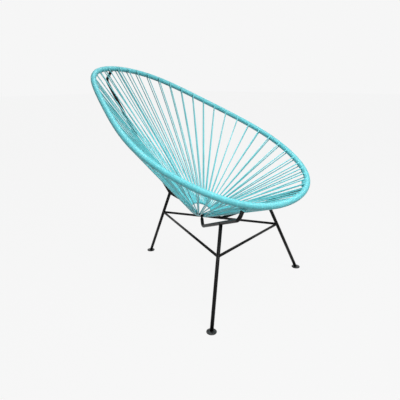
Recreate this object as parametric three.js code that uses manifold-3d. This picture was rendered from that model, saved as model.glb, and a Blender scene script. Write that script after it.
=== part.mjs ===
// Egg-shaped lounge chair: a cord-wound steel hoop on three welded legs, strung with one plastic cord.
// Millimetres, +Z up. The sitter faces -Y, and +X is on the chair's left hand side.
import * as THREE from 'three';
import { mergeVertices } from 'three/addons/utils/BufferGeometryUtils.js';
import Module from 'manifold-3d';

const wasm = await Module();
wasm.setup();

// Clearances
const seatGap = 0.3;
const turnGap = 0.75;

// Cord
const cordDiameter = 4;
const cordSides = 6;
const loopCount = 54;
const sideRow = 20;
const loopsPerLength = 3;
const hoopWrapSteps = 5;
const hubWrapSteps = 5;

// Hoop, seen square to its own plane: length from back to front, greatest width, both on the rod's centre
const hoopLength = 995;
const hoopWidth = 677;
const hoopTilt = THREE.MathUtils.degToRad(25.2);
const hoopCentreY = 80.6;
const hoopCentreZ = 605;
const hoopRipple = 1.9;
const hoopRodDiameter = 13;
const hoopRodSides = 8;
const windingSides = 12;
const hoopStations = 91;
const hoopWidthShares = [0.966, -0.1435, 0.0326, 0.0086, 0.0116, -0.0073];

// Hub ring that the cord is drawn down to
const hubY = 22;
const hubZ = 277;
const hubTilt = THREE.MathUtils.degToRad(21);
const hubRodDiameter = 6;
const hubRodSides = 8;
const hubStations = 30;

// Frame rods
const rodDiameter = 11;
const braceDiameter = 8;
const rodSides = 10;
const weldStandOff = 2.2;
const weldNeckDiameter = 7;
const weldNeckLength = 10;

// Spine rod, in the chair's middle plane: its hook from the hoop's back, its lower bends from the hub
const spineHookBehind = 50.2;
const spineHookDrop = 49.6;
const spineHookRadius = 16;
const spineBow = 9.2;
const spineBowRadius = 900;
const spineKneeBehind = 174.5;
const spineKneeRise = 34;
const spineKneeRadius = 22;
const spineToeBehind = 128;
const spineToeRise = 22;
const spineToeRadius = 60;

// Seat rails, on the +X side: the low bend from the weld on the hub, the high bend from the rail's top
const railLowAside = 20.7;
const railLowAhead = 23.7;
const railLowDrop = 33.1;
const railHighAside = 23.1;
const railHighBehind = 2.4;
const railHighDrop = 36.5;
const railBendRadius = 18;
const railTopBendRadius = 12;
const railHubAngle = THREE.MathUtils.degToRad(134);
const railTuck = THREE.MathUtils.degToRad(30);
const railTopShare = 0.8437;

// How far the binding also goes down each rail, from the corner at the rail's top
const lashingLength = 17.6;
const legSeatShare = 0.568;

// Legs, feet and braces
const footSpread = 570.2;
const frontFootY = -263;
const rearFootY = 338.2;
const braceZ = 213.2;
const footDiameter = 34;
const footEdgeHeight = 3;
const footDomeHeight = 1.6;
const footCornerRadius = 1;
const footSides = 24;

// Steps between neighbouring loops along half of the hoop, from the back to the front
const loopStepShares = [
  31, 40, 41, 51, 55, 56, 59, 61, 57, 57, 60, 61, 59, 57,
  59, 58, 51, 54, 44, 38, 38, 45, 38, 39, 39, 39, 39,
];
const backLoopShare = 0.0068;

// The loop, counted from the back, that a binding takes in with a rail's end
const boundLoopNumber = 22;
const sideWindings = 11;
const frontWindings = 2;

const cordRadius = cordDiameter / 2;
const hoopRodRadius = hoopRodDiameter / 2;
const hubRodRadius = hubRodDiameter / 2;
const rodRadius = rodDiameter / 2;
const braceRadius = braceDiameter / 2;
const windingRadius = hoopRodRadius + seatGap + cordDiameter;
const hubWrapRadius = hubRodRadius + seatGap + cordRadius;
const hubRadius = loopCount * (cordDiameter + turnGap) / (2 * Math.PI) + hubWrapRadius;
const hoopWrapRadius = windingRadius + seatGap + cordRadius;
const loopPitchOnHoop = cordDiameter + turnGap;

const steelColour = 0x141414;
const cordColour = 0x62cdd3;

function steel() {
  return new THREE.MeshStandardMaterial({ color: steelColour, roughness: 0.45, metalness: 0.6 });
}

function plasticCord() {
  return new THREE.MeshStandardMaterial({ color: cordColour, roughness: 0.35, metalness: 0 });
}

// A route through given points, with one section at each point. An upright route keeps its sections
// turned to one direction, and the others turn as little as they can.
class Route extends THREE.Curve {
  constructor(points, closed = false, upright = null) {
    super();
    this.points = points;
    this.closed = closed;
    this.upright = upright;
    this.spans = closed ? points.length : points.length - 1;
  }

  corner(index) {
    const count = this.points.length;
    return this.points[this.closed ? (index + count) % count : THREE.MathUtils.clamp(index, 0, count - 1)];
  }

  getPointAt(share, target = new THREE.Vector3()) {
    const place = share * this.spans;
    const index = Math.min(Math.floor(place), this.spans - 1);
    return target.copy(this.corner(index)).lerp(this.corner(index + 1), place - index);
  }

  getTangentAt(share, target = new THREE.Vector3()) {
    const index = Math.round(share * this.spans);
    const before = this.corner(index).clone().sub(this.corner(index - 1)).normalize();
    const after = this.corner(index + 1).clone().sub(this.corner(index)).normalize();
    return target.copy(before).add(after).normalize();
  }

  computeFrenetFrames(segments, closed) {
    if (!this.upright) return super.computeFrenetFrames(segments, closed);
    const frames = { tangents: [], normals: [], binormals: [] };
    for (let index = 0; index <= segments; index += 1) {
      const tangent = this.getTangentAt(index / segments);
      const binormal = tangent.clone().cross(this.upright).normalize();
      frames.tangents.push(tangent);
      frames.normals.push(binormal.clone().cross(tangent).normalize());
      frames.binormals.push(binormal);
    }
    return frames;
  }
}

function arcPoints(centreX, centreY, radius, from, to, steps) {
  const points = [];
  for (let step = 0; step <= steps; step += 1) {
    const angle = from + (to - from) * step / steps;
    points.push(new THREE.Vector2(centreX + radius * Math.cos(angle), centreY + radius * Math.sin(angle)));
  }
  return points;
}

function circlePoints(radius, sides) {
  return arcPoints(0, 0, radius, 0, 2 * Math.PI, sides).slice(0, sides);
}

// The radius of a polygon whose sides, not its corners, lie at the given radius
function roundTheOutside(radius, sides) {
  return radius / Math.cos(Math.PI / sides);
}

function sweep(section, route) {
  return new THREE.ExtrudeGeometry(section, { steps: route.spans, extrudePath: route });
}

function rodAlong(points, radius, sides, upright = null) {
  return sweep(new THREE.Shape(circlePoints(radius, sides)), new Route(points, false, upright));
}

function ringAlong(points, radius, sides, upright) {
  return new THREE.TubeGeometry(new Route(points, true, upright), points.length, radius, sides, true);
}

// Rounds the corners of a route. Each corner is { at, radius }, and a corner without a radius stays sharp.
function roundedRoute(corners, stepAngle) {
  const points = [];
  corners.forEach((corner, index) => {
    const before = corners[index - 1];
    const after = corners[index + 1];
    if (!corner.radius || !before || !after) {
      points.push(corner.at.clone());
      return;
    }
    const back = before.at.clone().sub(corner.at);
    const ahead = after.at.clone().sub(corner.at);
    const room = Math.min(back.length(), ahead.length()) / 2;
    back.normalize();
    ahead.normalize();
    const turn = Math.PI - back.angleTo(ahead);
    const setBack = Math.min(corner.radius * Math.tan(turn / 2), room);
    const radius = setBack / Math.tan(turn / 2);
    const toCentre = back.clone().add(ahead).normalize();
    const centre = corner.at.clone().addScaledVector(toCentre, radius / Math.cos(turn / 2));
    const start = corner.at.clone().addScaledVector(back, setBack).sub(centre);
    const axis = back.clone().cross(start).normalize();
    const steps = Math.max(2, Math.ceil(turn / stepAngle));
    for (let step = 0; step <= steps; step += 1) {
      points.push(start.clone().applyAxisAngle(axis, turn * step / steps).add(centre));
    }
  });
  return points;
}

function toManifold(geometry) {
  const bare = geometry.clone();
  bare.deleteAttribute('normal');
  bare.deleteAttribute('uv');
  const merged = mergeVertices(bare);
  const vertProperties = new Float32Array(merged.getAttribute('position').array);
  const triVerts = new Uint32Array(merged.getIndex().array);
  return new wasm.Manifold(new wasm.Mesh({ numProp: 3, vertProperties, triVerts }));
}

function cutBy(geometry, cutters, additions = []) {
  let solid = toManifold(geometry);
  for (const addition of additions) solid = solid.add(toManifold(addition));
  for (const cutter of cutters) solid = solid.subtract(toManifold(cutter));
  const mesh = solid.getMesh();
  const result = new THREE.BufferGeometry();
  result.setAttribute('position', new THREE.BufferAttribute(new Float32Array(mesh.vertProperties), 3));
  result.setIndex(new THREE.BufferAttribute(new Uint32Array(mesh.triVerts), 1));
  result.computeVertexNormals();
  return result;
}

// Hoop

const hoopNormal = new THREE.Vector3(0, -Math.sin(hoopTilt), Math.cos(hoopTilt));
const hoopForward = new THREE.Vector3(0, -Math.cos(hoopTilt), -Math.sin(hoopTilt));
const hoopCentre = new THREE.Vector3(0, hoopCentreY, hoopCentreZ);

function hoopPointAtTurn(turn) {
  const wave = (sum, share, index) => sum + share * Math.sin((index + 1) * turn);
  const across = hoopWidthShares.reduce(wave, 0) * hoopWidth / 2;
  return hoopCentre.clone()
    .addScaledVector(hoopForward, -Math.cos(turn) * hoopLength / 2)
    .addScaledVector(hoopNormal, -hoopRipple * Math.cos(4 * turn))
    .setX(across);
}

const hoopCorners = [];
for (let index = 0; index < hoopStations; index += 1) {
  hoopCorners.push(hoopPointAtTurn(2 * Math.PI * index / hoopStations));
}
const hoopArcs = [0];
for (let index = 0; index < hoopStations; index += 1) {
  const next = hoopCorners[(index + 1) % hoopStations];
  hoopArcs.push(hoopArcs[index] + hoopCorners[index].distanceTo(next));
}
const hoopAround = hoopArcs[hoopStations];

// Arcs run from the back towards +X, and an arc below zero lies on the -X side
function hoopPoint(arc) {
  const place = ((arc % hoopAround) + hoopAround) % hoopAround;
  let index = 0;
  while (hoopArcs[index + 1] < place) index += 1;
  const share = (place - hoopArcs[index]) / (hoopArcs[index + 1] - hoopArcs[index]);
  return hoopCorners[index].clone().lerp(hoopCorners[(index + 1) % hoopStations], share);
}

// The outward direction in the hoop's plane
function hoopOutward(arc) {
  const step = hoopAround / hoopStations / 2;
  const tangent = hoopPoint(arc + step).sub(hoopPoint(arc - step)).normalize();
  return hoopNormal.clone().cross(tangent).normalize();
}

// The arcs of the hoop's own corners between two arcs, with both ends
function hoopArcsBetween(from, to) {
  const laps = [-hoopAround, 0, hoopAround];
  const corners = laps.flatMap((lap) => hoopArcs.slice(0, hoopStations).map((arc) => arc + lap));
  return [from, ...corners.filter((arc) => arc > from + seatGap && arc < to - seatGap), to];
}

function hoopStretch(from, to) {
  return hoopArcsBetween(from, to).map(hoopPoint);
}

// Places of the loops on the hoop

const stepTotal = loopStepShares.reduce((sum, share) => sum + share, 0);
const loopArcs = [hoopAround * backLoopShare];
let shareSoFar = 0;
for (const share of loopStepShares) {
  shareSoFar += share;
  loopArcs.push(hoopAround / 2 * shareSoFar / stepTotal);
}
for (let index = loopStepShares.length - 1; index > 0; index -= 1) {
  loopArcs.push(hoopAround - loopArcs[index]);
}

// A binding runs from the rail's top corner nearly to the loop in front of it
const railTopArc = hoopAround / 2 * railTopShare;
const bindingStart = railTopArc - rodDiameter - turnGap;
const bindingEnd = loopArcs[boundLoopNumber + 1] - loopPitchOnHoop / 2 - cordDiameter - turnGap;

// Hub ring

const hubNormal = new THREE.Vector3(0, -Math.sin(hubTilt), Math.cos(hubTilt));
const hubBack = new THREE.Vector3(0, Math.cos(hubTilt), Math.sin(hubTilt));
const hubSide = new THREE.Vector3(1, 0, 0);
const hubCentre = new THREE.Vector3(0, hubY, hubZ);

// Angles run from the back towards +X
function hubOutward(angle) {
  return hubSide.clone().multiplyScalar(Math.sin(angle)).addScaledVector(hubBack, Math.cos(angle));
}

function hubPoint(angle) {
  return hubCentre.clone().addScaledVector(hubOutward(angle), hubRadius);
}

function hubCorners() {
  const points = [];
  for (let index = 0; index < hubStations; index += 1) {
    points.push(hubPoint(2 * Math.PI * (index + 0.5) / hubStations));
  }
  return points;
}

// Frame routes

const mirror = new THREE.Vector3(-1, 1, 1);
const bendStep = THREE.MathUtils.degToRad(15);

function offset(point, x, y, z) {
  return point.clone().add(new THREE.Vector3(x, y, z));
}

const spineHook = offset(hoopPoint(0), 0, spineHookBehind, -spineHookDrop);
const spineKnee = offset(hubCentre, 0, spineKneeBehind, spineKneeRise);
const spineToe = offset(hubCentre, 0, spineToeBehind, spineToeRise);

function spineCorners() {
  const chord = spineKnee.clone().sub(spineHook).normalize();
  const outward = new THREE.Vector3(0, -chord.z, chord.y);
  const bow = spineHook.clone().lerp(spineKnee, 0.5).addScaledVector(outward, spineBow);
  return [
    { at: hoopPoint(0) },
    { at: spineHook, radius: spineHookRadius },
    { at: bow, radius: spineBowRadius },
    { at: spineKnee, radius: spineKneeRadius },
    { at: spineToe, radius: spineToeRadius },
    { at: hubPoint(0).addScaledVector(hubOutward(0), weldStandOff) },
  ];
}

const railUnderHoop = hoopRodRadius + seatGap + rodRadius;

// The rail's top runs below the hoop's rod, tucked in towards the seat
function railFromHoop(arc) {
  return hoopNormal.clone().multiplyScalar(-Math.cos(railTuck) * railUnderHoop)
    .addScaledVector(hoopOutward(arc), -Math.sin(railTuck) * railUnderHoop);
}

function railUnder(arc) {
  return hoopPoint(arc).add(railFromHoop(arc));
}

const railHubEnd = hubPoint(railHubAngle);
const railLow = offset(railHubEnd, railLowAside, -railLowAhead, -railLowDrop);
const railHigh = offset(railUnder(railTopArc), railHighAside, railHighBehind, -railHighDrop);

function railCorners() {
  const towardsRail = railLow.clone().sub(railHubEnd).normalize();
  const under = hoopArcsBetween(railTopArc, bindingEnd - seatGap).map((arc) => ({ at: railUnder(arc) }));
  under[0].radius = railTopBendRadius;
  return [
    { at: railHubEnd.clone().addScaledVector(towardsRail, weldStandOff) },
    { at: railLow, radius: railBendRadius },
    { at: railHigh, radius: railBendRadius },
    ...under,
  ];
}

const spineRoute = roundedRoute(spineCorners(), bendStep).reverse();
const leftRoute = roundedRoute(railCorners(), bendStep);
const rightRoute = leftRoute.map((point) => point.clone().multiply(mirror));

// The same rods with the gap that a touching piece keeps
function fatRod(points, radius) {
  return rodAlong(points, roundTheOutside(radius + seatGap, rodSides), rodSides);
}

function fatRing(points, radius, sides, upright) {
  return ringAlong(points, roundTheOutside(radius + seatGap, sides), sides, upright);
}

// Takes the end of a welded rod down to a neck
function neckCutter(route) {
  const [end, next] = route;
  const neck = weldNeckDiameter / 2;
  const profile = [
    new THREE.Vector2(neck, -weldStandOff),
    new THREE.Vector2(rodDiameter, -weldStandOff),
    new THREE.Vector2(rodDiameter, weldNeckLength + rodDiameter - neck),
    new THREE.Vector2(neck, weldNeckLength),
    new THREE.Vector2(neck, -weldStandOff),
  ];
  const axis = new THREE.Vector3(0, 1, 0);
  const turn = new THREE.Quaternion().setFromUnitVectors(axis, next.clone().sub(end).normalize());
  return new THREE.LatheGeometry(profile, rodSides).applyQuaternion(turn).translate(end.x, end.y, end.z);
}

function weldedRod(route, cutters) {
  return cutBy(rodAlong(route, rodRadius, rodSides), [fatHub, neckCutter(route), ...cutters]);
}

const fatHoop = fatRing(hoopCorners, hoopRodRadius, hoopRodSides, hoopNormal);
const fatHub = fatRing(hubCorners(), hubRodRadius, hubRodSides, hubNormal);

const hoopRod = ringAlong(hoopCorners, hoopRodRadius, hoopRodSides, hoopNormal);
const hubRing = ringAlong(hubCorners(), hubRodRadius, hubRodSides, hubNormal);
const spineRod = weldedRod(spineRoute, [fatHoop]);
const leftRail = weldedRod(leftRoute, []);
const rightRail = weldedRod(rightRoute, []);

// Legs, feet and braces

function footProfile(extra) {
  const radius = footDiameter / 2 + extra;
  const corner = footCornerRadius + extra;
  const edge = footEdgeHeight - footCornerRadius;
  return [
    new THREE.Vector2(0, -extra),
    ...arcPoints(radius - corner, footCornerRadius, corner, -Math.PI / 2, 0, 2),
    ...arcPoints(radius - corner, edge, corner, 0, Math.PI / 2, 2),
    new THREE.Vector2(radius / 2, footEdgeHeight + footDomeHeight * 3 / 4 + extra),
    new THREE.Vector2(0, footEdgeHeight + footDomeHeight + extra),
  ];
}

function foot(at, extra = 0) {
  const disc = new THREE.LatheGeometry(footProfile(extra), footSides).rotateX(Math.PI / 2);
  return disc.translate(at.x, at.y, 0);
}

const leftFoot = new THREE.Vector3(footSpread / 2, frontFootY, 0);
const rightFoot = leftFoot.clone().multiply(mirror);
const rearFoot = new THREE.Vector3(0, rearFootY, 0);
const leftLegSeat = railLow.clone().lerp(railHigh, legSeatShare);
const rightLegSeat = leftLegSeat.clone().multiply(mirror);
const legs = {
  front_left: { foot: leftFoot, seat: leftLegSeat, rod: leftRoute },
  front_right: { foot: rightFoot, seat: rightLegSeat, rod: rightRoute },
  rear: { foot: rearFoot, seat: spineKnee, rod: spineRoute },
};

function straightRod(from, to, radius) {
  return rodAlong([from, to], radius, rodSides);
}

function legPointAt(leg, height) {
  return leg.foot.clone().lerp(leg.seat, height / leg.seat.z);
}

// The leg ends just short of its rod's middle, where the rod cuts its top, and it stands on its foot
function legSolid(leg) {
  const start = legPointAt(leg, footEdgeHeight);
  const end = legPointAt(leg, leg.seat.z - rodRadius / 4);
  return cutBy(straightRod(start, end, rodRadius), [fatRod(leg.rod, rodRadius), foot(leg.foot, seatGap)]);
}

const fatLegs = Object.values(legs).map((leg) => fatRod([leg.foot, leg.seat], rodRadius));
const braces = [
  { name: 'brace_left', ends: ['front_left', 'rear'] },
  { name: 'brace_right', ends: ['front_right', 'rear'] },
  { name: 'brace_front', ends: ['front_left', 'front_right'] },
];

function braceRoute(brace) {
  return brace.ends.map((end) => legPointAt(legs[end], braceZ));
}

// Each brace is coped round the legs, and round the braces that were put in before it
function braceSolid(brace, index) {
  const earlier = braces.slice(0, index).map((other) => fatRod(braceRoute(other), braceRadius));
  const [from, to] = braceRoute(brace);
  return cutBy(straightRod(from, to, braceRadius), [...fatLegs, ...earlier]);
}

// Cord wound round the hoop, laid as sleeves from binding to binding

function windingSleeve(from, to) {
  const bore = roundTheOutside(hoopRodRadius + seatGap, hoopRodSides);
  const section = new THREE.Shape(circlePoints(windingRadius, windingSides));
  section.holes.push(new THREE.Path(circlePoints(bore, hoopRodSides)));
  return sweep(section, new Route(hoopStretch(from, to), false, hoopNormal));
}

// The middle of the hoop's straight stretch nearest to an arc
function middleOfStretch(arc) {
  const lap = Math.floor(arc / hoopAround) * hoopAround;
  const index = hoopArcs.findLastIndex((start) => start <= arc - lap);
  return lap + (hoopArcs[index] + hoopArcs[index + 1]) / 2;
}

function windingStretches() {
  const stretches = [];
  const lay = (from, to, count, name) => {
    const seams = [from];
    for (let index = 1; index < count; index += 1) {
      seams.push(middleOfStretch(from + (to - from) * index / count));
    }
    seams.push(to);
    for (let index = 0; index < count; index += 1) {
      const start = seams[index] + seatGap / 2;
      const end = seams[index + 1] - seatGap / 2;
      stretches.push({ name: `hoop_winding_${name}_${index + 1}`, start, end });
    }
  };
  lay(-bindingStart, bindingStart, sideWindings, 'back');
  lay(bindingEnd, hoopAround - bindingEnd, frontWindings, 'front');
  return stretches;
}

// The cord wound round a rail just below the hoop
function lashing(side) {
  const top = railUnder(railTopArc);
  const bottom = top.clone().add(railHigh.clone().sub(top).setLength(lashingLength));
  const ends = [top, bottom].map((end) => (side > 0 ? end : end.clone().multiply(mirror)));
  return rodAlong(ends, rodRadius + seatGap + cordDiameter, windingSides);
}

// The binding holds the hoop's rod and the rail's end together: one section round both rods
function bindingSolid(side, railRoute) {
  const halfTurn = windingSides / 2;
  const start = -railTuck - Math.PI / 2;
  const railX = -railUnderHoop * Math.cos(railTuck);
  const railY = railUnderHoop * Math.sin(railTuck);
  const outline = [
    ...arcPoints(0, 0, windingRadius, start, start + Math.PI, halfTurn),
    ...arcPoints(railX, railY, windingRadius, start + Math.PI, start + 2 * Math.PI, halfTurn),
  ];
  const from = side > 0 ? bindingStart : hoopAround - bindingEnd;
  const stretch = hoopStretch(from + seatGap, from + bindingEnd - bindingStart - seatGap);
  const block = sweep(new THREE.Shape(outline), new Route(stretch, false, hoopNormal));
  return cutBy(block, [fatHoop, fatRod(railRoute, rodRadius)], [lashing(side)]);
}

// Seat cord

// The rods welded to the hub part its cord turns into three rows: left, front and right
const weldSpace = (weldNeckDiameter / 2 + cordRadius + 1.5 * turnGap) / hubRadius;
const rows = [
  { from: 0, to: railHubAngle, first: 0, count: sideRow },
  { from: railHubAngle, to: 2 * Math.PI - railHubAngle, first: sideRow, count: loopCount - 2 * sideRow },
  { from: 2 * Math.PI - railHubAngle, to: 2 * Math.PI, first: loopCount - sideRow, count: sideRow },
];

// A turn starts on top of the hub, where the row is evenly spread, and ends below it, clear of the welds
function turnAngles(number) {
  const { from, to, first, count } = rows.findLast((row) => number >= row.first);
  const top = from + (to - from) * (number - first + 0.5) / count;
  const bottom = from + weldSpace + (to - from - 2 * weldSpace) * (number - first) / (count - 1);
  return { top, bottom };
}

// The angle, seen along a ring, at which a straight stretch leaves the ring's upper side
function leavingAngle(direction, outward, normal) {
  return Math.atan2(direction.dot(normal), direction.dot(outward)) + Math.PI / 2;
}

function loopFrame(loop) {
  const number = (loop + loopCount) % loopCount;
  const arc = loopArcs[number];
  const { top } = turnAngles(number);
  const towardsHoop = hoopPoint(arc).sub(hubPoint(top));
  const hubAngle = leavingAngle(towardsHoop, hubOutward(top), hubNormal);
  const hoopAngle = leavingAngle(towardsHoop, hoopOutward(arc), hoopNormal);
  const fromBack = Math.min(number, loopCount - number);
  return { number, arc, hubAngle, hoopAngle, bound: fromBack === boundLoopNumber };
}

// Half a turn round the hub ring, from the upper side of one loop to the lower side of the next
function hubTurn(loop) {
  const { number, hubAngle } = loopFrame(loop);
  const end = loopFrame(loop + 1).hubAngle + Math.PI;
  const { top, bottom } = turnAngles(number);
  const radius = hubWrapRadius / Math.cos((end - hubAngle) / hubWrapSteps / 2);
  const points = [];
  for (let step = 0; step <= hubWrapSteps; step += 1) {
    const share = step / hubWrapSteps;
    const angle = hubAngle + (end - hubAngle) * share;
    const along = top + (bottom - top) * share;
    points.push(hubPoint(along)
      .addScaledVector(hubOutward(along), radius * Math.cos(angle))
      .addScaledVector(hubNormal, radius * Math.sin(angle)));
  }
  return points;
}

// Half a turn round the hoop, from its underside over its outer side to its top. A bound loop goes
// round the rail below the hoop as well.
function hoopTurn(loop) {
  const { arc, hoopAngle, bound } = loopFrame(loop);
  const stepAngle = Math.PI / hoopWrapSteps;
  const radius = hoopWrapRadius / Math.cos(stepAngle / 2);
  const from = bound ? -railTuck - stepAngle / 2 : hoopAngle - Math.PI;
  const points = [];
  for (let step = 0; step <= hoopWrapSteps; step += 1) {
    const place = arc + loopPitchOnHoop * (step / hoopWrapSteps - 0.5);
    const angle = from + stepAngle * step;
    const point = hoopPoint(place)
      .addScaledVector(hoopNormal, radius * Math.sin(angle))
      .addScaledVector(hoopOutward(place), radius * Math.cos(angle));
    if (bound && step === 0) point.add(railFromHoop(place));
    points.push(point);
  }
  return points;
}

// One length of cord. It starts and ends halfway round the hub, where the next length goes on.
function cordLengthRoute(firstLoop) {
  const half = Math.ceil(hubWrapSteps / 2);
  const points = hubTurn(firstLoop - 1).slice(half - 1);
  for (let loop = firstLoop; loop < firstLoop + loopsPerLength; loop += 1) {
    points.push(...hoopTurn(loop), ...hubTurn(loop));
  }
  points.length -= half - 1;
  halve(points);
  halve(points.reverse());
  return points.reverse();
}

// Brings the first point of a route to the middle of its first stretch, less half of a gap
function halve(points) {
  const [end, inner] = points;
  const length = end.distanceTo(inner);
  end.lerp(inner, 0.5 + seatGap / 2 / length);
}

// The least space between two straight stretches, less one cord
function stretchGap(a, b, c, d) {
  const first = b.clone().sub(a);
  const second = d.clone().sub(c);
  const across = a.clone().sub(c);
  const ff = first.dot(first);
  const ss = second.dot(second);
  const fs = first.dot(second);
  const denominator = ff * ss - fs * fs;
  const clamp = (value) => THREE.MathUtils.clamp(value, 0, 1);
  let s = denominator > 0 ? clamp((fs * second.dot(across) - ss * first.dot(across)) / denominator) : 0;
  const t = clamp((fs * s + second.dot(across)) / ss);
  s = clamp((fs * t - first.dot(across)) / ff);
  return a.clone().addScaledVector(first, s).distanceTo(c.clone().addScaledVector(second, t)) - cordDiameter;
}

// The least gap of a cord to itself, leaving out what lies within one turn along it
function leastGap(points, other = points) {
  const along = [0];
  for (let index = 1; index < points.length; index += 1) {
    along.push(along[index - 1] + points[index].distanceTo(points[index - 1]));
  }
  const oneTurn = 2 * Math.PI * hubWrapRadius;
  let least = Infinity;
  for (let i = 0; i + 1 < points.length; i += 1) {
    for (let j = 0; j + 1 < other.length; j += 1) {
      if (other === points && along[j] - along[i + 1] < oneTurn) continue;
      least = Math.min(least, stretchGap(points[i], points[i + 1], other[j], other[j + 1]));
    }
  }
  return least;
}

// Assembly

const chair = new THREE.Group();

function add(name, geometry, material) {
  const mesh = new THREE.Mesh(geometry, material);
  mesh.name = name;
  chair.add(mesh);
}

add('hoop_rod', hoopRod, steel());
add('hub_ring', hubRing, steel());
add('spine_rod', spineRod, steel());
add('rail_left', leftRail, steel());
add('rail_right', rightRail, steel());
for (const [place, leg] of Object.entries(legs)) {
  add(`leg_${place}`, legSolid(leg), steel());
  add(`foot_${place}`, foot(leg.foot), steel());
}
braces.forEach((brace, index) => add(brace.name, braceSolid(brace, index), steel()));
add('binding_left', bindingSolid(1, leftRoute), plasticCord());
add('binding_right', bindingSolid(-1, rightRoute), plasticCord());
const fatSpine = fatRod(spineRoute, rodRadius);
for (const { name, start, end } of windingStretches()) {
  const sleeve = windingSleeve(start, end);
  add(name, start < 0 && end > 0 ? cutBy(sleeve, [fatSpine]) : sleeve, plasticCord());
}

const cordRoutes = [];
for (let loop = 0; loop < loopCount; loop += loopsPerLength) cordRoutes.push(cordLengthRoute(loop));
cordRoutes.forEach((points, index) => {
  const number = String(index + 1).padStart(2, '0');
  add(`seat_cord_${number}`, rodAlong(points, cordRadius, cordSides), plasticCord());
});
const ownGap = Math.min(...cordRoutes.map((points) => leastGap(points)));
console.log(`least gap of a cord length to itself ${ownGap.toFixed(2)} mm`);

// The chair stands on its feet, centred on its own box
const box = new THREE.Box3().setFromObject(chair);
const middle = box.getCenter(new THREE.Vector3());
chair.position.set(-middle.x, -middle.y, -box.min.z);

export default chair;
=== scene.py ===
"""Looks of the cord-wound lounge chair: one long plastic cord on a welded steel frame."""
import math

import bpy
import numpy as np
from mathutils import Matrix, Vector


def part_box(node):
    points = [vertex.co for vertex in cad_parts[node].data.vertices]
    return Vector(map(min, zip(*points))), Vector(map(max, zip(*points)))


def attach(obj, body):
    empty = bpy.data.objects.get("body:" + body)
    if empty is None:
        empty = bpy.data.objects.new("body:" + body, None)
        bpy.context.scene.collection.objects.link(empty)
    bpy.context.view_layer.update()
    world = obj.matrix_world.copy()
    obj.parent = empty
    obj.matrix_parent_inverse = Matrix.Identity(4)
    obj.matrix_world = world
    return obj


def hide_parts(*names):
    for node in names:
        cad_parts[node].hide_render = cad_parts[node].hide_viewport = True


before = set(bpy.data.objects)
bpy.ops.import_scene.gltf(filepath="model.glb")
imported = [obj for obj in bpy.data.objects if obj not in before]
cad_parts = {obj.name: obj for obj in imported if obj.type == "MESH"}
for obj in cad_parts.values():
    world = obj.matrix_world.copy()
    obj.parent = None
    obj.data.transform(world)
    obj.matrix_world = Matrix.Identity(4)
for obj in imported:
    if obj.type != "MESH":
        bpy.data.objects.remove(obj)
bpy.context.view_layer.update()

MM = 0.001
TINY = 1e-9

# Millimetres, counts, shares and angles, as in the part's source
SEAT_GAP = 0.3
TURN_GAP = 0.75
CORD_DIAMETER = 4.0
LOOP_COUNT = 54
LOOPS_PER_NODE = 3
SIDE_ROW = 20
HOOP_LENGTH = 995.0
HOOP_WIDTH = 677.0
HOOP_TILT = math.radians(25.2)
HOOP_CENTRE = (0.0, 80.6, 605.0)
HOOP_RIPPLE = 1.9
HOOP_ROD_RADIUS = 6.5
HOOP_STATIONS = 91
HOOP_WIDTH_SHARES = [0.966, -0.1435, 0.0326, 0.0086, 0.0116, -0.0073]
HUB = (0.0, 22.0, 277.0)
HUB_TILT = math.radians(21)
HUB_ROD_RADIUS = 3.0
ROD_RADIUS = 5.5
BRACE_RADIUS = 4.0
WELD_STAND_OFF = 2.2
WELD_NECK_RADIUS = 3.5
WELD_NECK_LENGTH = 10.0
SPINE_BOW, SPINE_BOW_RADIUS = 9.2, 900.0
RAIL_TOP_BEND = 12.0
RAIL_HUB_ANGLE = math.radians(134)
RAIL_TUCK = math.radians(30)
RAIL_TOP_SHARE = 0.8437
LASHING_LENGTH = 17.6
LEG_SEAT_SHARE = 0.568
FOOT_SPREAD = 570.2
FRONT_FOOT_Y = -263.0
REAR_FOOT_Y = 338.2
BRACE_Z = 213.2
FOOT_RADIUS = 17.0
FOOT_EDGE_HEIGHT = 3.0
LOOP_STEP_SHARES = [
    31, 40, 41, 51, 55, 56, 59, 61, 57, 57, 60, 61, 59, 57,
    59, 58, 51, 54, 44, 38, 38, 45, 38, 39, 39, 39, 39,
]
BACK_LOOP_SHARE = 0.0068
LOOP_BOUND = 22
SIDE_WINDINGS = 11
FRONT_WINDINGS = 2

# Bends of the rods: x, y, z and radius. The part's source gives their places as offsets from the
# hoop and the hub. The spine's hook is 1.9 mm from the source's, and the others are within 0.3 mm.
SPINE_HOOK = (0.0, 580.95, 767.23, 16.0)
SPINE_KNEE = (0.0, 196.5, 311.0, 22.0)
SPINE_TOE = (0.0, 150.0, 299.0, 60.0)
RAIL_LOW = (53.9, -31.6, 232.4, 18.0)
RAIL_HIGH = (216.8, -310.3, 372.3, 18.0)

# Millimetres, for the looks alone. The coat and the swell make the rods and the seat's cord as
# thick as they look in the photo.
PAINT_COAT = 0.75
CORD_SWELL = 0.15
WINDING_PITCH = 4.15
TURN_SINK = 0.25
DROP_LATER = 6.0
DROP_LENGTH = 2.0
LASHING_TUCK = 3.0
END_COIL_LENGTH = 14.0
END_COIL_SINK = 1.2
WELD_BEAD_RADIUS = 1.5
FOOT_EDGE_RADIUS = 1.2
FOOT_EDGE_TOP = 1.9
FOOT_RIM_Z = 3.1
FOOT_DOME = 1.5
FOOT_DOME_RADII = (14.5, 12.5, 10, 7.5, 5, 2.5)

# A turn of the winding is this much wider than it is high
TURN_WIDTH = 1.25

# Ripples of a weld bead: share of its radius, and count round the rod
BEAD_FINE_RIPPLE, BEAD_FINE_COUNT = 0.14, 17
BEAD_COARSE_RIPPLE, BEAD_COARSE_COUNT = 0.08, 5

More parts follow.
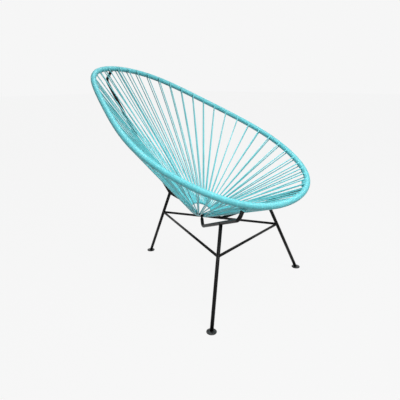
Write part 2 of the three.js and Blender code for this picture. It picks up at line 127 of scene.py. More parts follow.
# Steps along the routes, and sides round the tubes
BEND_STEP = math.radians(5)
LEAST_BEND_STEPS = 3
TANGENT_REACH = 0.01
RAIL_TOP_STATIONS = 8
TURN_STEPS = 12
WINDING_STEPS = 16
LASHING_STEPS = 20
LASHING_TUCK_STEPS = 4
END_COIL_STEPS = 18
HUB_RING_STEPS = 96
HOOP_RING_STEPS = 364
BEAD_STEPS = 72
SEAT_CORD_SIDES = 12
WINDING_SIDES = 8
RING_SIDES = 16
ROD_SIDES = 24
BRACE_SIDES = 20
BEAD_SIDES = 10
FOOT_SIDES = 64
FOOT_EDGE_START = 0.3
FOOT_LOWER_RINGS = 5
FOOT_UPPER_RINGS = 6

CORD_RADIUS = CORD_DIAMETER / 2
LOOP_PITCH = CORD_DIAMETER + TURN_GAP
HUB_WRAP_RADIUS = HUB_ROD_RADIUS + SEAT_GAP + CORD_RADIUS
HUB_RADIUS = LOOP_COUNT * LOOP_PITCH / (2 * math.pi) + HUB_WRAP_RADIUS
WRAP_RADIUS = HOOP_ROD_RADIUS + SEAT_GAP + CORD_RADIUS
RAIL_WRAP_RADIUS = ROD_RADIUS + SEAT_GAP + CORD_RADIUS
RAIL_UNDER_HOOP = HOOP_ROD_RADIUS + SEAT_GAP + ROD_RADIUS

# The hub ring's box is centred on the hub, so it gives the way from these numbers to the frame's
hub_lo, hub_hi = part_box("hub_ring")
SHIFT = (hub_lo + hub_hi) / 2 / MM - Vector(HUB)


def vec(*xyz):
    return np.array(xyz, float)


def unit(v):
    return v / np.linalg.norm(v)


def spot(corner):
    """The place of a route's corner, without its radius."""
    return vec(*corner[:3])


def to_frame(points):
    return (np.asarray(points, float) + np.array(SHIFT)) * MM


MIRROR = vec(-1, 1, 1)


def mirrored(points):
    return [p * MIRROR for p in points]


def lengths_along(pts):
    return np.concatenate([[0], np.cumsum(np.linalg.norm(np.diff(pts, axis=0), axis=1))])


def points_at(places, along, pts):
    return np.array([np.interp(places, along, pts[:, k]) for k in range(3)]).T


# Hoop

HOOP_NORMAL = vec(0, -math.sin(HOOP_TILT), math.cos(HOOP_TILT))
HOOP_FORWARD = vec(0, -math.cos(HOOP_TILT), -math.sin(HOOP_TILT))


def hoop_at_turn(turn):
    across = sum(s * math.sin((k + 1) * turn) for k, s in enumerate(HOOP_WIDTH_SHARES))
    point = (
        vec(*HOOP_CENTRE)
        - HOOP_FORWARD * math.cos(turn) * HOOP_LENGTH / 2
        - HOOP_NORMAL * HOOP_RIPPLE * math.cos(4 * turn)
    )
    point[0] = across * HOOP_WIDTH / 2
    return point


hoop_corners = [hoop_at_turn(2 * math.pi * i / HOOP_STATIONS) for i in range(HOOP_STATIONS)]
hoop_next = hoop_corners[1:] + hoop_corners[:1]
hoop_steps = [np.linalg.norm(after - at) for at, after in zip(hoop_corners, hoop_next)]
hoop_arcs = np.concatenate([[0], np.cumsum(hoop_steps)])
HOOP_AROUND = float(hoop_arcs[-1])


def hoop_turn_of(arc):
    laps, place = divmod(arc, HOOP_AROUND)
    station = np.interp(place, hoop_arcs, np.arange(HOOP_STATIONS + 1))
    return 2 * math.pi * (laps + station / HOOP_STATIONS)


# Arcs run from the back towards +X
def hoop_point(arc):
    return hoop_at_turn(hoop_turn_of(arc))


def hoop_tangent(arc):
    turn = hoop_turn_of(arc)
    return unit(hoop_at_turn(turn + TANGENT_REACH) - hoop_at_turn(turn - TANGENT_REACH))


def hoop_outward(arc):
    return unit(np.cross(HOOP_NORMAL, hoop_tangent(arc)))


step_sum = np.cumsum(LOOP_STEP_SHARES) / sum(LOOP_STEP_SHARES)
half_arcs = [float(HOOP_AROUND / 2 * s) for s in step_sum]
loop_arcs = [HOOP_AROUND * BACK_LOOP_SHARE, *half_arcs]
loop_arcs += [HOOP_AROUND - arc for arc in reversed(half_arcs[:-1])]
RAIL_TOP_ARC = HOOP_AROUND / 2 * RAIL_TOP_SHARE
BINDING_START = RAIL_TOP_ARC - 2 * ROD_RADIUS - TURN_GAP
BINDING_END = loop_arcs[LOOP_BOUND + 1] - LOOP_PITCH / 2 - CORD_DIAMETER - TURN_GAP

# Hub

HUB_NORMAL = vec(0, -math.sin(HUB_TILT), math.cos(HUB_TILT))
HUB_BACK = vec(0, math.cos(HUB_TILT), math.sin(HUB_TILT))


def hub_outward(angle):
    return vec(1, 0, 0) * math.sin(angle) + HUB_BACK * math.cos(angle)


def hub_point(angle):
    return vec(*HUB) + hub_outward(angle) * HUB_RADIUS


# Routes of the rods

def rounded(corners):
    """Rounds the corners (x, y, z, radius) of a route. A corner without a radius stays sharp."""
    points = []
    for i, corner in enumerate(corners):
        at, radius = spot(corner), corner[3] if len(corner) > 3 else 0
        if not radius or i in (0, len(corners) - 1):
            points.append(at)
            continue
        back, ahead = spot(corners[i - 1]) - at, spot(corners[i + 1]) - at
        room = min(np.linalg.norm(back), np.linalg.norm(ahead)) / 2
        back, ahead = unit(back), unit(ahead)
        turn = math.pi - math.acos(float(np.clip(back @ ahead, -1, 1)))
        set_back = min(radius * math.tan(turn / 2), room)
        radius = set_back / math.tan(turn / 2)
        centre = at + unit(back + ahead) * radius / math.cos(turn / 2)
        start = at + back * set_back - centre
        axis = unit(np.cross(back, start))
        side = np.cross(axis, start)
        steps = max(LEAST_BEND_STEPS, math.ceil(turn / BEND_STEP))
        for k in range(steps + 1):
            a = turn * k / steps
            points.append(centre + start * math.cos(a) + side * math.sin(a))
    return points


def spine_route():
    hook, knee = spot(SPINE_HOOK), spot(SPINE_KNEE)
    chord = unit(knee - hook)
    bow = (hook + knee) / 2 + vec(0, -chord[2], chord[1]) * SPINE_BOW
    return rounded([
        tuple(hoop_point(0)),
        SPINE_HOOK,
        (*bow, SPINE_BOW_RADIUS),
        SPINE_KNEE,
        SPINE_TOE,
        tuple(hub_point(0) + hub_outward(0) * WELD_STAND_OFF),
    ])[::-1]


def rail_from_hoop(arc):
    inward = -HOOP_NORMAL * math.cos(RAIL_TUCK) - hoop_outward(arc) * math.sin(RAIL_TUCK)
    return inward * RAIL_UNDER_HOOP


def rail_route():
    hub_end = hub_point(RAIL_HUB_ANGLE)
    arcs = np.linspace(RAIL_TOP_ARC, BINDING_END - SEAT_GAP, RAIL_TOP_STATIONS)
    under = [tuple(hoop_point(a) + rail_from_hoop(a)) for a in arcs]
    under[0] = (*under[0], RAIL_TOP_BEND)
    start = tuple(hub_end + unit(spot(RAIL_LOW) - hub_end) * WELD_STAND_OFF)
    return rounded([start, RAIL_LOW, RAIL_HIGH, *under])


SPINE = spine_route()
RAIL_LEFT = rail_route()
RAIL_RIGHT = mirrored(RAIL_LEFT)


# Meshes

def sweep_frames(points, closed=False, upright=None):
    """Tangent, normal and binormal at each point of a route.

    The normals lean as far as they can to upright, which is one direction or one for each point.
    Without it they turn as little as they can.
    """
    pts = np.asarray(points, float)
    if closed:
        steps = np.roll(pts, -1, 0) - pts
        before = np.roll(steps, 1, 0)
    else:
        steps = np.diff(pts, axis=0)
        before = np.vstack([steps[:1], steps])
        steps = np.vstack([steps, steps[-1:]])
    steps = steps / np.linalg.norm(steps, axis=1, keepdims=True)
    before = before / np.linalg.norm(before, axis=1, keepdims=True)
    tangents = steps + before
    tangents /= np.linalg.norm(tangents, axis=1, keepdims=True)
    normals = np.empty_like(tangents)
    if upright is not None:
        for i, (t, up) in enumerate(zip(tangents, np.broadcast_to(upright, pts.shape))):
            normals[i] = unit(up - t * (up @ t))
    else:
        seed = np.eye(3)[np.argmin(np.abs(tangents[0]))]
        normals[0] = unit(seed - tangents[0] * (seed @ tangents[0]))
        for i in range(1, len(pts)):
            n = normals[i - 1]
            axis = np.cross(tangents[i - 1], tangents[i])
            s, c = np.linalg.norm(axis), tangents[i - 1] @ tangents[i]
            if s > TINY:
                k = axis / s
                n = n * c + np.cross(k, n) * s + k * (k @ n) * (1 - c)
            normals[i] = unit(n - tangents[i] * (n @ tangents[i]))
    return tangents, normals, np.cross(tangents, normals)


def tube_mesh(points, radius, sides, closed=False, upright=None, width=1.0):
    """Vertices, faces and UVs of a tube. U goes round it and V along it, both in metres."""
    pts = np.asarray(points, float)
    radii = np.broadcast_to(np.asarray(radius, float), (len(pts),))
    _, normals, binormals = sweep_frames(pts, closed, upright)
    angles = 2 * math.pi * np.arange(sides) / sides
    cosines, sines = np.cos(angles)[None, :, None], np.sin(angles)[None, :, None]
    ring = cosines * normals[:, None] + width * sines * binormals[:, None]
    verts = (pts[:, None] + radii[:, None, None] * ring).reshape(-1, 3)
    along = lengths_along(pts)
    faces, uvs = [], []
    count = len(pts)
    around = 2 * math.pi * float(radii.mean())
    for i in range(count if closed else count - 1):
        j = (i + 1) % count
        v0, v1 = along[i], along[j] if j else along[i] + np.linalg.norm(pts[0] - pts[i])
        for k in range(sides):
            m = (k + 1) % sides
            faces.append((i * sides + k, i * sides + m, j * sides + m, j * sides + k))
            u0, u1 = around * k / sides, around * (k + 1) / sides
            uvs += [(u0, v0), (u1, v0), (u1, v1), (u0, v1)]
    if not closed:
        faces.append(tuple(range(sides))[::-1])
        faces.append(tuple((count - 1) * sides + k for k in range(sides)))
        uvs += [(0.0, along[0])] * sides + [(0.0, along[-1])] * sides
    return verts, faces, np.array(uvs) * MM


def add_piece(name, part, material, replaces=()):
    verts, faces, uvs = part
    mesh = bpy.data.meshes.new(name)
    mesh.from_pydata(to_frame(verts).tolist(), [], faces)
    layer = mesh.uv_layers.new(name="UVMap")
    layer.data.foreach_set("uv", np.asarray(uvs, np.float32).ravel())
    mesh.polygons.foreach_set("use_smooth", [True] * len(mesh.polygons))
    mesh.materials.append(material)
    mesh.validate()
    mesh.update()
    piece = bpy.data.objects.new(name, mesh)
    bpy.context.scene.collection.objects.link(piece)
    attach(piece, "root")
    if replaces:
        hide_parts(*replaces)


# Materials

def node_material(name):
    material = bpy.data.materials.new(name)
    material.use_nodes = True
    nodes = material.node_tree.nodes
    return material, nodes, material.node_tree.links, nodes["Principled BSDF"]


def grey(level):
    return (level, level, level)


def ramp(nodes, stops):
    node = nodes.new("ShaderNodeValToRGB")
    elements = node.color_ramp.elements
    while len(elements) < len(stops):
        elements.new(0.5)
    for element, (position, colour) in zip(elements, stops):
        element.position = position
        element.color = (*colour, 1)
    return node


def noise(nodes, scale, detail):
    node = nodes.new("ShaderNodeTexNoise")
    node.inputs["Scale"].default_value = scale
    node.inputs["Detail"].default_value = detail
    return node


def multiply_colours(nodes, links, first, second):
    node = nodes.new("ShaderNodeMix")
    node.data_type = "RGBA"
    node.blend_type = "MULTIPLY"
    node.inputs["Factor"].default_value = 1.0
    links.new(first, node.inputs["A"])
    links.new(second, node.inputs["B"])
    return node


def add_bump(nodes, links, shader, height, strength, distance):
    node = nodes.new("ShaderNodeBump")
    node.inputs["Strength"].default_value = strength
    node.inputs["Distance"].default_value = distance
    links.new(height, node.inputs["Height"])
    links.new(node.outputs["Normal"], shader.inputs["Normal"])


# Metres above the floor between which painted shade takes a cord from its full colour to its darker
# one
CORD_PAINTED_SHADE_LOW = 0.50
CORD_PAINTED_SHADE_HIGH = 0.78


def cord_material(name, base, deep, pale, painted_shade_share):
    """Extruded plastic cord: faint draw lines, slow changes of shade and a soft gloss.

    It darkens with height above the floor, down to the given share of its colour high up: painted
    shade.
    """
    material, nodes, links, shader = node_material(name)
    uv = nodes.new("ShaderNodeUVMap")
    uv.uv_map = "UVMap"
    stretch = nodes.new("ShaderNodeMapping")
    stretch.inputs["Scale"].default_value = (900, 14, 1)
    links.new(uv.outputs["UV"], stretch.inputs["Vector"])
    lines = noise(nodes, 1.6, 3)
    links.new(stretch.outputs["Vector"], lines.inputs["Vector"])
    place = nodes.new("ShaderNodeTexCoord")
    slow = noise(nodes, 9, 2)
    links.new(place.outputs["Object"], slow.inputs["Vector"])
    shades = ramp(nodes, [(0.3, deep), (0.5, base), (0.72, pale)])
    links.new(slow.outputs["Fac"], shades.inputs["Fac"])
    streaks = ramp(nodes, [(0.35, grey(0.9)), (0.65, grey(1.0))])
    links.new(lines.outputs["Fac"], streaks.inputs["Fac"])
    tint = multiply_colours(nodes, links, shades.outputs["Color"], streaks.outputs["Color"])
    # Painted shade: the colour is multiplied down with the height above the floor, so it is darker
    # high up
    height = nodes.new("ShaderNodeSeparateXYZ")
    links.new(place.outputs["Object"], height.inputs["Vector"])
    painted_shade = nodes.new("ShaderNodeMapRange")
    painted_shade.inputs["From Min"].default_value = CORD_PAINTED_SHADE_LOW
    painted_shade.inputs["From Max"].default_value = CORD_PAINTED_SHADE_HIGH
    painted_shade.inputs["To Min"].default_value = 1.0
    painted_shade.inputs["To Max"].default_value = painted_shade_share
    links.new(height.outputs["Z"], painted_shade.inputs["Value"])
    shaded = multiply_colours(nodes, links, tint.outputs["Result"], painted_shade.outputs["Result"])
    links.new(shaded.outputs["Result"], shader.inputs["Base Color"])
    gloss = ramp(nodes, [(0.3, grey(0.22)), (0.7, grey(0.36))])
    links.new(lines.outputs["Fac"], gloss.inputs["Fac"])
    links.new(gloss.outputs["Color"], shader.inputs["Roughness"])
    add_bump(nodes, links, shader, lines.outputs["Fac"], 0.25, 0.00015)
    shader.inputs["Specular IOR Level"].default_value = 0.45
    shader.inputs["Subsurface Weight"].default_value = 0.12
    shader.inputs["Subsurface Radius"].default_value = (0.001, 0.0025, 0.0025)
    shader.inputs["Subsurface Scale"].default_value = 1.0
    return material


def paint_material(name, dark, light, rough_low, rough_high, gloss_level):
    """Sprayed black enamel: fine orange peel and slight changes of tone and gloss."""
    material, nodes, links, shader = node_material(name)
    place = nodes.new("ShaderNodeTexCoord")
    cloud = noise(nodes, 35, 5)
    links.new(place.outputs["Object"], cloud.inputs["Vector"])
    tone = ramp(nodes, [(0.35, dark), (0.75, light)])
    links.new(cloud.outputs["Fac"], tone.inputs["Fac"])
    links.new(tone.outputs["Color"], shader.inputs["Base Color"])
    gloss = ramp(nodes, [(0.3, grey(rough_low)), (0.7, grey(rough_high))])
    links.new(cloud.outputs["Fac"], gloss.inputs["Fac"])
    links.new(gloss.outputs["Color"], shader.inputs["Roughness"])
    peel = noise(nodes, 900, 2)
    links.new(place.outputs["Object"], peel.inputs["Vector"])
    add_bump(nodes, links, shader, peel.outputs["Fac"], 0.2, 0.0002)
    shader.inputs["Specular IOR Level"].default_value = gloss_level
    return material


# Painted light: the seat's strands are the same cord as the hoop's winding, but their colour is
# painted lighter to stand in for more light on them. They are also given stronger painted shade
# high up.
SEAT_CORD = cord_material(
    "turquoise_cord",
    base=(0.165, 0.680, 0.735),
    deep=(0.145, 0.645, 0.698),
    pale=(0.187, 0.710, 0.765),
    painted_shade_share=0.56,
)
HOOP_CORD = cord_material(
    "turquoise_hoop_cord",
    base=(0.142, 0.595, 0.652),
    deep=(0.122, 0.560, 0.615),
    pale=(0.163, 0.625, 0.683),
    painted_shade_share=0.85,
)
FRAME_PAINT = paint_material(
    "black_frame_paint",
    dark=grey(0.003),
    light=grey(0.006),
    rough_low=0.30,
    rough_high=0.42,
    gloss_level=0.12,
)
FOOT_PAINT = paint_material(
    "black_foot_paint",
    dark=(0.012, 0.013, 0.013),
    light=(0.022, 0.023, 0.023),
    rough_low=0.22,
    rough_high=0.34,
    gloss_level=0.5,
)


# Seat cord, one continuous winding of all the loops

# The rods welded to the hub part its turns into three rows: start, end, first loop and count
WELD_SPACE = (WELD_NECK_RADIUS + CORD_RADIUS + 1.5 * TURN_GAP) / HUB_RADIUS
ROWS = [
    (0.0, RAIL_HUB_ANGLE, 0, SIDE_ROW),
    (RAIL_HUB_ANGLE, 2 * math.pi - RAIL_HUB_ANGLE, SIDE_ROW, LOOP_COUNT - 2 * SIDE_ROW),
    (2 * math.pi - RAIL_HUB_ANGLE, 2 * math.pi, LOOP_COUNT - SIDE_ROW, SIDE_ROW),
]


def turn_angles(number):
    lo, hi, first, count = [row for row in ROWS if number >= row[2]][-1]
    top = lo + (hi - lo) * (number - first + 0.5) / count
    bottom = lo + WELD_SPACE + (hi - lo - 2 * WELD_SPACE) * (number - first) / (count - 1)
    return top, bottom


def leaving_angle(direction, outward, normal):
    return math.atan2(direction @ normal, direction @ outward) + math.pi / 2


def loop_frame(loop):
    number = loop % LOOP_COUNT
    arc = loop_arcs[number]
    top, _ = turn_angles(number)
    towards = hoop_point(arc) - hub_point(top)
    hub_angle = leaving_angle(towards, hub_outward(top), HUB_NORMAL)
    hoop_angle = leaving_angle(towards, hoop_outward(arc), HOOP_NORMAL)
    return number, arc, hub_angle, hoop_angle


def hub_turn(loop):
    """Half a turn round the hub ring, from the upper side of one loop to the lower of the next."""
    number, _, angle, _ = loop_frame(loop)
    end = loop_frame(loop + 1)[2] + math.pi
    top, bottom = turn_angles(number)
    points = []
    for k in range(TURN_STEPS + 1):
        share = k / TURN_STEPS
        a = angle + (end - angle) * share
        along = top + (bottom - top) * share
        ring = hub_outward(along) * math.cos(a) + HUB_NORMAL * math.sin(a)
        points.append(hub_point(along) + ring * HUB_WRAP_RADIUS)
    return points


def wrap_point(arc, angle, drop):
    """A point on the winding. The drop, from 0 to 1, takes in the rail below the hoop."""
    away = rail_from_hoop(arc) / -RAIL_UNDER_HOOP
    outward = hoop_outward(arc)
    ring = HOOP_NORMAL * math.sin(angle) + outward * math.cos(angle)
    if ring @ away >= 0:
        return hoop_point(arc) + ring * WRAP_RADIUS
    radius = WRAP_RADIUS + (RAIL_WRAP_RADIUS - WRAP_RADIUS) * drop
    return hoop_point(arc) + rail_from_hoop(arc) * drop + ring * radius


def hoop_turn(loop):
    """Half a turn in line with the winding, from under the hoop over its outside to its top."""
    number, arc, _, hoop_angle = loop_frame(loop)
    bound = min(number, LOOP_COUNT - number) == LOOP_BOUND
    points = []
    for angle in np.linspace(hoop_angle - math.pi, hoop_angle, TURN_STEPS + 1):
        place = arc + WINDING_PITCH * angle / (2 * math.pi)
        points.append(wrap_point(place, angle, 1.0 if bound else 0.0))
    return points


def seat_cord_route():
    points = []
    for loop in range(LOOP_COUNT):
        points += hoop_turn(loop) + hub_turn(loop)
    return points


seat_cord = tube_mesh(seat_cord_route(), CORD_RADIUS + CORD_SWELL, SEAT_CORD_SIDES, closed=True)
cord_nodes = [f"seat_cord_{n:02d}" for n in range(1, LOOP_COUNT // LOOPS_PER_NODE + 1)]
add_piece("seat_cord", seat_cord, SEAT_CORD, cord_nodes)


# Winding round the hoop, and the bindings that take in the rails

def winding_stations():
    """Arc and turns along the whole winding. At each loop it steps over the loop's half turn."""
    stations = []
    turn = 0.0
    p = WINDING_PITCH
    for loop in range(LOOP_COUNT):
        arc = loop_arcs[loop]
        after = loop_arcs[loop + 1] if loop + 1 < LOOP_COUNT else loop_arcs[0] + HOOP_AROUND
        leaves = loop_frame(loop)[3] / (2 * math.pi)
        step_over = [
            (0, -p),
            (leaves, (leaves - 1) * p),
            (leaves + 0.5, (leaves + 0.5) * p),
            (1, p),
        ]
        for (t0, s0), (t1, s1) in zip(step_over, step_over[1:]):
            steps = math.ceil((t1 - t0) * WINDING_STEPS)
            for k in range(steps):
                place = arc + s0 + (s1 - s0) * k / steps
                stations.append((place, turn + t0 + (t1 - t0) * k / steps))
        turn += 1
        turns = max(1, round((after - arc - 2 * p) / p))
        for k in range(turns * WINDING_STEPS):
            share = k / (turns * WINDING_STEPS)
            stations.append((arc + p + (after - arc - 2 * p) * share, turn + turns * share))
        turn += turns
    return stations


def mirrored_arc(arc):
    place = arc % HOOP_AROUND
    return min(place, HOOP_AROUND - place)


def winding_zone(arc):
    side = mirrored_arc(arc)
    if side < BINDING_START:
        return "winding_back"
    if side > BINDING_END:
        return "winding_front"
    return "binding_left_turns" if arc % HOOP_AROUND < HOOP_AROUND / 2 else "binding_right_turns"


def rail_drop(side):
    """1 where the winding takes in the rail, 0 elsewhere, with a short ramp at both ends."""
    after_corner = np.clip((side - RAIL_TOP_ARC - DROP_LATER) / DROP_LENGTH, 0, 1)
    before_end = np.clip((BINDING_END - side) / DROP_LENGTH, 0, 1)
    return float(after_corner * before_end)


def winding_routes():
    """The winding's points with their ways out from the hoop, in parts.

    It is parted where a binding starts or ends, and each part runs one step into the next.
    """
    stations = winding_stations()
    count = len(stations)
    names = [winding_zone(arc) for arc, _ in stations]
    first = next(i for i in range(1, count) if names[i] != names[i - 1])
    routes = {}
    for k in range(count + 1):
        here = (first + k) % count
        arc, turn = stations[here]
        at = wrap_point(arc, 2 * math.pi * turn, rail_drop(mirrored_arc(arc)))
        point = (at, at - hoop_point(arc))
        name, before = names[here], names[here - 1]
        if k and name != before:
            routes[before].append(point)
        if k < count:
            routes.setdefault(name, []).append(point)
    order = list(routes)
    for name, after in zip(order, [*order[1:], order[0]]):
        routes[name].append(routes[after][1])
    return routes


winding_nodes = {
    "winding_back": [f"hoop_winding_back_{n}" for n in range(1, SIDE_WINDINGS + 1)],
    "winding_front": [f"hoop_winding_front_{n}" for n in range(1, FRONT_WINDINGS + 1)],
    "binding_left_turns": ["binding_left"],
    "binding_right_turns": ["binding_right"],
}
for name, route in winding_routes().items():
    points, outward = zip(*route)
    radii = np.full(len(route), CORD_RADIUS)
    radii[-1] -= TURN_SINK
    turns = tube_mesh(points, radii, WINDING_SIDES, upright=np.array(outward), width=TURN_WIDTH)
    add_piece(name, turns, HOOP_CORD, winding_nodes[name])


def resampled(points, step):
    pts = np.asarray(points, float)
    along = lengths_along(pts)
    return points_at(np.arange(0, along[-1], step), along, pts)


def lashing_route():
    """Cord round the rail just below the hoop, from its lowest turn up into the binding."""
    route = resampled(RAIL_LEFT, WINDING_PITCH / LASHING_STEPS)
    corner = hoop_point(RAIL_TOP_ARC) + rail_from_hoop(RAIL_TOP_ARC)
    lowest = corner + unit(spot(RAIL_HIGH) - corner) * (LASHING_LENGTH - CORD_RADIUS)
    low = int(np.argmin(np.linalg.norm(route - lowest, axis=1)))
    top = int(np.argmin(np.linalg.norm(route - corner, axis=1)))
    inward = -hoop_outward(RAIL_TOP_ARC)
    tangents, _, _ = sweep_frames(route[low:top])
    points = []
    for k, (at, tangent) in enumerate(zip(route[low:top], tangents)):
        first = unit(inward - tangent * (inward @ tangent))
        second = np.cross(tangent, first)
        angle = 2 * math.pi * k / LASHING_STEPS
        tucked = min(k, top - 1 - low - k) / LASHING_TUCK_STEPS
        radius = RAIL_WRAP_RADIUS - LASHING_TUCK * max(0.0, 1 - tucked)
        points.append(at + (first * math.cos(angle) + second * math.sin(angle)) * radius)
    return points


def end_coil_route():
    """Cord round the tip of the rail, inside the binding, and coiled over the rail's cut end."""
    end = BINDING_END - SEAT_GAP + CORD_RADIUS
    round_steps = int(END_COIL_LENGTH / WINDING_PITCH * END_COIL_STEPS)
    radius = RAIL_WRAP_RADIUS - END_COIL_SINK
    close_steps = int((radius - CORD_RADIUS) / WINDING_PITCH * END_COIL_STEPS)
    points = []
    for k in range(round_steps + close_steps + 1):
        arc = end - WINDING_PITCH * max(0, round_steps - k) / END_COIL_STEPS
        closing = WINDING_PITCH * max(0, k - round_steps) / END_COIL_STEPS
        down = unit(rail_from_hoop(arc))
        side = np.cross(hoop_tangent(arc), down)
        angle = 2 * math.pi * k / END_COIL_STEPS
        ring = down * math.cos(angle) + side * math.sin(angle)
        points.append(hoop_point(arc) + rail_from_hoop(arc) + ring * (radius - closing))
    return points


for name, turned in (("left", list), ("right", mirrored)):
    for piece, route in (("lashing", lashing_route()), ("end_coil", end_coil_route())):
        coil = tube_mesh(turned(route), CORD_RADIUS, WINDING_SIDES)
        add_piece(f"{piece}_{name}", coil, HOOP_CORD, [f"binding_{name}"])


# Frame rods

def ring_rod(name, points, radius, upright, node):
    """A closed rod that the cord hides."""
    ring = tube_mesh(points, radius, RING_SIDES, closed=True, upright=upright)
    add_piece(name, ring, FRAME_PAINT, [node])


def rod(name, points, radius, node, sides=ROD_SIDES):
    tube = tube_mesh(points, radius + PAINT_COAT, sides)
    add_piece(name, tube, FRAME_PAINT, [node])


hub_circle = [hub_point(2 * math.pi * k / HUB_RING_STEPS) for k in range(HUB_RING_STEPS)]
ring_rod("hub_steel", hub_circle, HUB_ROD_RADIUS, HUB_NORMAL, "hub_ring")
hoop_line = [hoop_at_turn(2 * math.pi * k / HOOP_RING_STEPS) for k in range(HOOP_RING_STEPS)]
ring_rod("hoop_steel", hoop_line, HOOP_ROD_RADIUS, HOOP_NORMAL, "hoop_rod")


def necked(points):
    """The route and radii of a rod whose first end is ground down to a neck for its weld."""
    pts = np.asarray(points, float)
    along = lengths_along(pts)
    neck = WELD_NECK_LENGTH
    full = neck + ROD_RADIUS - WELD_NECK_RADIUS
    places = np.union1d(along, [neck / 2, neck, (neck + full) / 2, full])
    radii = np.interp(places, [neck, full], [WELD_NECK_RADIUS, ROD_RADIUS])
    return points_at(places, along, pts), radii


rod("spine_steel", *necked(SPINE), "spine_rod")
rod("rail_left_steel", *necked(RAIL_LEFT), "rail_left")
rod("rail_right_steel", *necked(RAIL_RIGHT), "rail_right")

# Each leg runs from its foot to its seat, a point on the centre line of the rod above it
rail_line = spot(RAIL_HIGH) - spot(RAIL_LOW)
leg_seat = spot(RAIL_LOW) + rail_line * LEG_SEAT_SHARE
LEGS = {
    "front_left": (vec(FOOT_SPREAD / 2, FRONT_FOOT_Y, 0), leg_seat),
    "front_right": (vec(-FOOT_SPREAD / 2, FRONT_FOOT_Y, 0), leg_seat * MIRROR),
    "rear": (vec(0, REAR_FOOT_Y, 0), spot(SPINE_KNEE)),
}
BRACES = {
    "left": ("front_left", "rear"),
    "right": ("front_right", "rear"),
    "front": ("front_left", "front_right"),
}


def leg_at(name, height):
    foot, seat = LEGS[name]
    return foot + (seat - foot) * height / seat[2]


for name, (_, seat) in LEGS.items():
    route = [leg_at(name, FOOT_EDGE_HEIGHT + SEAT_GAP), seat]
    rod(f"leg_{name}_steel", route, ROD_RADIUS, f"leg_{name}")
for name, (a, b) in BRACES.items():
    route = [leg_at(a, BRACE_Z), leg_at(b, BRACE_Z)]
    rod(f"brace_{name}_steel", route, BRACE_RADIUS, f"brace_{name}", sides=BRACE_SIDES)


def weld_bead(at, away, radius, other_at, other_along, other_radius):
    """A rippled bead where a rod that runs off in one direction meets the side of another rod."""
    away, other_along = unit(away), unit(other_along)
    first = unit(np.cross(away, other_along))
    second = np.cross(away, first)
    across = away - other_along * (away @ other_along)
    points, radii = [], []
    for k in range(BEAD_STEPS):
        a = 2 * math.pi * k / BEAD_STEPS
        start = at + (first * math.cos(a) + second * math.sin(a)) * radius
        gap = start - other_at
        gap = gap - other_along * (gap @ other_along)
        b, c = gap @ across, gap @ gap - other_radius ** 2
        room = max(0.0, b * b - (across @ across) * c)
        points.append(start + away * (-b + math.sqrt(room)) / (across @ across))
        fine = BEAD_FINE_RIPPLE * math.sin(BEAD_FINE_COUNT * a)
        coarse = BEAD_COARSE_RIPPLE * math.sin(BEAD_COARSE_COUNT * a + 1)
        radii.append(WELD_BEAD_RADIUS * (1 + fine + coarse))
    return tube_mesh(points, radii, BEAD_SIDES, closed=True)


def rod_direction(route, at):
    pts = np.asarray(route)
    nearest = int(np.clip(np.argmin(np.linalg.norm(pts - at, axis=1)), 1, len(pts) - 2))
    return pts[nearest + 1] - pts[nearest - 1]


leg_hosts = {
    "front_left": rail_line,
    "front_right": rail_line * MIRROR,
    "rear": rod_direction(SPINE, spot(SPINE_KNEE)),
}
for name, (foot, seat) in LEGS.items():
    bead = weld_bead(seat, foot - seat, ROD_RADIUS, seat, leg_hosts[name], ROD_RADIUS)
    add_piece(f"weld_leg_{name}", bead, FRAME_PAINT)
for name, (a, b) in BRACES.items():
    for here, there in ((a, b), (b, a)):
        at = leg_at(here, BRACE_Z)
        foot, seat = LEGS[here]
        away = leg_at(there, BRACE_Z) - at
        bead = weld_bead(at, away, BRACE_RADIUS, at, seat - foot, ROD_RADIUS)
        add_piece(f"weld_brace_{name}_{here}", bead, FRAME_PAINT)


def foot_rings():
    """Radius and height of a foot's rings, from its underside round its edge and up its dome."""
    flat, edge = FOOT_RADIUS - FOOT_EDGE_RADIUS, FOOT_EDGE_RADIUS
    rings = [(flat, 0.0)]
    for a in np.linspace(FOOT_EDGE_START, math.pi / 2, FOOT_LOWER_RINGS):
        rings.append((flat + edge * math.sin(a), edge - edge * math.cos(a)))
    for a in np.linspace(0, math.pi / 2, FOOT_UPPER_RINGS):
        rings.append((flat + edge * math.cos(a), FOOT_EDGE_TOP + edge * math.sin(a)))
    for r in FOOT_DOME_RADII:
        rings.append((r, FOOT_RIM_Z + FOOT_DOME * (1 - (r / flat) ** 2)))
    return rings


def foot_mesh(at):
    rings = foot_rings()
    sides = FOOT_SIDES
    verts, faces = [vec(at[0], at[1], 0.0)], []
    for r, z in rings:
        for k in range(sides):
            a = 2 * math.pi * k / sides
            verts.append(vec(at[0] + r * math.cos(a), at[1] + r * math.sin(a), z))
    verts.append(vec(at[0], at[1], FOOT_RIM_Z + FOOT_DOME))
    last = 1 + (len(rings) - 1) * sides
    for k in range(sides):
        m = (k + 1) % sides
        faces.append((0, 1 + m, 1 + k))
        for i in range(len(rings) - 1):
            a, b = 1 + i * sides, 1 + (i + 1) * sides
            faces.append((a + k, a + m, b + m, b + k))
        faces.append((last + k, last + m, len(verts) - 1))
    return np.array(verts), faces, np.zeros((sum(len(face) for face in faces), 2))


for name, (foot, _) in LEGS.items():
    add_piece(f"foot_{name}_disc", foot_mesh(foot), FOOT_PAINT, [f"foot_{name}"])


# Floor, light and camera, in metres

FLOOR_SIZE = 40.0
FLOOR_Z = -0.0005


def seen_rays(nodes, links):
    """1 for the camera's own rays and those that come by way of gloss or glass, 0 for the rest."""
    rays = nodes.new("ShaderNodeLightPath")
    share = rays.outputs["Is Camera Ray"]
    for kind in ("Is Glossy Ray", "Is Transmission Ray"):
        either = nodes.new("ShaderNodeMath")
        either.operation = "MAXIMUM"
        links.new(share, either.inputs[0])
        links.new(rays.outputs[kind], either.inputs[1])
        share = either.outputs[0]
    return share


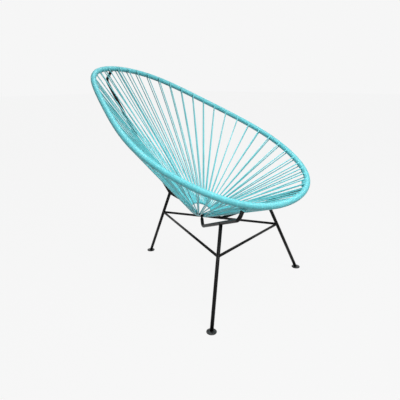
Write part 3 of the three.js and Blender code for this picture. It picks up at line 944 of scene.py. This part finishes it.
def floor_material():
    """Pale floor that the camera sees at one even brightness, with the shadows left faint on it."""
    material, nodes, links, shader = node_material("pale_floor")
    shader.inputs["Base Color"].default_value = (*grey(0.45), 1)
    shader.inputs["Roughness"].default_value = 0.9
    glow = nodes.new("ShaderNodeEmission")
    glow.inputs["Color"].default_value = (*grey(0.952), 1)
    glow.inputs["Strength"].default_value = 1.0
    share = nodes.new("ShaderNodeMath")
    share.operation = "MULTIPLY"
    share.inputs[1].default_value = 0.95
    links.new(seen_rays(nodes, links), share.inputs[0])
    mix = nodes.new("ShaderNodeMixShader")
    links.new(share.outputs[0], mix.inputs["Fac"])
    links.new(shader.outputs["BSDF"], mix.inputs[1])
    links.new(glow.outputs["Emission"], mix.inputs[2])
    links.new(mix.outputs["Shader"], nodes["Material Output"].inputs["Surface"])
    return material


def add_floor():
    mesh = bpy.data.meshes.new("floor")
    h, z = FLOOR_SIZE / 2, FLOOR_Z
    mesh.from_pydata([(-h, -h, z), (h, -h, z), (h, h, z), (-h, h, z)], [], [(0, 1, 2, 3)])
    mesh.materials.append(floor_material())
    plane = bpy.data.objects.new("floor", mesh)
    bpy.context.scene.collection.objects.link(plane)


def set_world():
    """A faint even light, and a pale backdrop for the rays that are seen."""
    world = bpy.data.worlds.new("studio")
    bpy.context.scene.world = world
    world.use_nodes = True
    nodes, links = world.node_tree.nodes, world.node_tree.links
    faint = nodes["Background"]
    faint.inputs["Color"].default_value = (*grey(0.9), 1)
    faint.inputs["Strength"].default_value = 0.02
    backdrop = nodes.new("ShaderNodeBackground")
    backdrop.inputs["Color"].default_value = (*grey(0.922), 1)
    pick = nodes.new("ShaderNodeMixShader")
    links.new(seen_rays(nodes, links), pick.inputs["Fac"])
    links.new(faint.outputs["Background"], pick.inputs[1])
    links.new(backdrop.outputs["Background"], pick.inputs[2])
    links.new(pick.outputs["Shader"], nodes["World Output"].inputs["Surface"])


def area_light(name, location, target, size, power):
    light = bpy.data.lights.new(name, "AREA")
    light.shape = "SQUARE"
    light.size = size
    light.energy = power
    lamp = bpy.data.objects.new(name, light)
    lamp.location = location
    direction = Vector(target) - Vector(location)
    lamp.rotation_mode = "QUATERNION"
    lamp.rotation_quaternion = direction.to_track_quat("-Z", "Y")
    bpy.context.scene.collection.objects.link(lamp)


add_floor()
set_world()
area_light("overhead", (0.0, 0.0, 2.9), (0, 0, 0.4), 1.5, 17)
area_light("key", (-0.3, -1.4, 2.3), (0, 0, 0.4), 1.2, 53)
area_light("fill", (-1.05, -0.75, 1.0), (0, 0, 0.4), 0.4, 3.8)
area_light("back", (0.9, 0.9, 2.5), (0, 0, 0.5), 1.2, 7)

# The photo's camera: its place in the part's millimetres, and its lens in pixels of the photo
EYE = (-1066.68, -897.47, 766.16)
YAW, PITCH, ROLL = math.radians(-49.024), math.radians(-17.812), math.radians(-0.507)
PHOTO_SIZE = 400
FOCAL_LENGTH = 374.15
IMAGE_SHIFT = 0.15
SENSOR_WIDTH = 36


def set_camera():
    view = vec(-math.sin(YAW) * math.cos(PITCH), math.cos(YAW) * math.cos(PITCH), math.sin(PITCH))
    level = vec(math.cos(YAW), math.sin(YAW), 0)
    up = np.cross(level, view)
    right = level * math.cos(ROLL) + up * math.sin(ROLL)
    top = up * math.cos(ROLL) - level * math.sin(ROLL)
    camera = bpy.data.cameras.new("camera")
    camera.sensor_width = SENSOR_WIDTH
    camera.lens = FOCAL_LENGTH / PHOTO_SIZE * SENSOR_WIDTH
    camera.shift_x = IMAGE_SHIFT / PHOTO_SIZE
    camera.shift_y = -IMAGE_SHIFT / PHOTO_SIZE
    eye = bpy.data.objects.new("camera", camera)
    bpy.context.scene.collection.objects.link(eye)
    turn = Matrix(np.array([right, top, -view]).T.tolist()).to_4x4()
    eye.matrix_world = Matrix.Translation(Vector(to_frame([EYE])[0])) @ turn
    bpy.context.scene.camera = eye


set_camera()
bpy.context.scene.view_settings.view_transform = "Standard"
